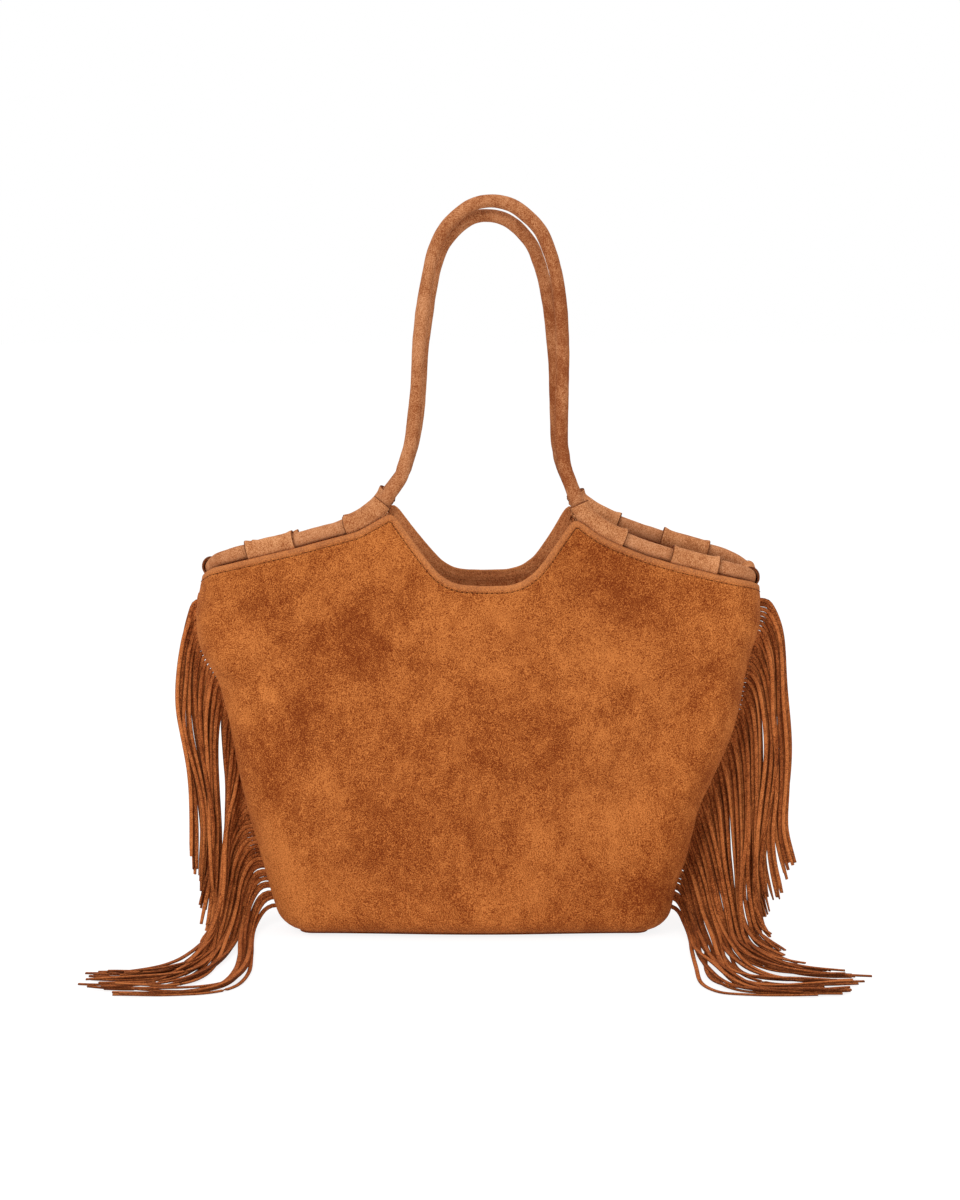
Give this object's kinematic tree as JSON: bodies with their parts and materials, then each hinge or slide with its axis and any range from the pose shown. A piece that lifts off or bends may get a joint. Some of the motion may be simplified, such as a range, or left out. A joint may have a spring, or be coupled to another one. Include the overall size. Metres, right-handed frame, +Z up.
{
  "type": "fringed suede tote bag",
  "caption": "Open-topped suede tote with a notched mouth, a padded strap loop held by sewn tabs that rises into two handles, and long cut fringe in the side seams.",
  "frame": {"origin": "middle of the base's underside, on the floor", "axes": "+X along the bag to the right seen from the front, -Y the front, +Z up"},
  "size_m": [0.6242, 0.2427, 0.5933],
  "materials": {
    "body": "rust-brown suede, matt nap, mottled light and dark",
    "strap": "light tan suede, matt",
    "fringe": "brown suede cut in narrow strands, matt"
  },
  "bodies": {
    "root": {"front_panel": "body", "back_panel": "body", "base_panel": "body", "strap": "strap", "tab_front_left_inner": "strap", "tab_front_left_outer": "strap", "tab_front_right_inner": "strap", "tab_front_right_outer": "strap", "tab_back_left_inner": "strap", "tab_back_left_outer": "strap", "tab_back_right_inner": "strap", "tab_back_right_outer": "strap", "side_tab_left": "strap", "side_tab_right": "strap", "fringe_left": "fringe", "fringe_right": "fringe"}
  },
  "joints": []
}
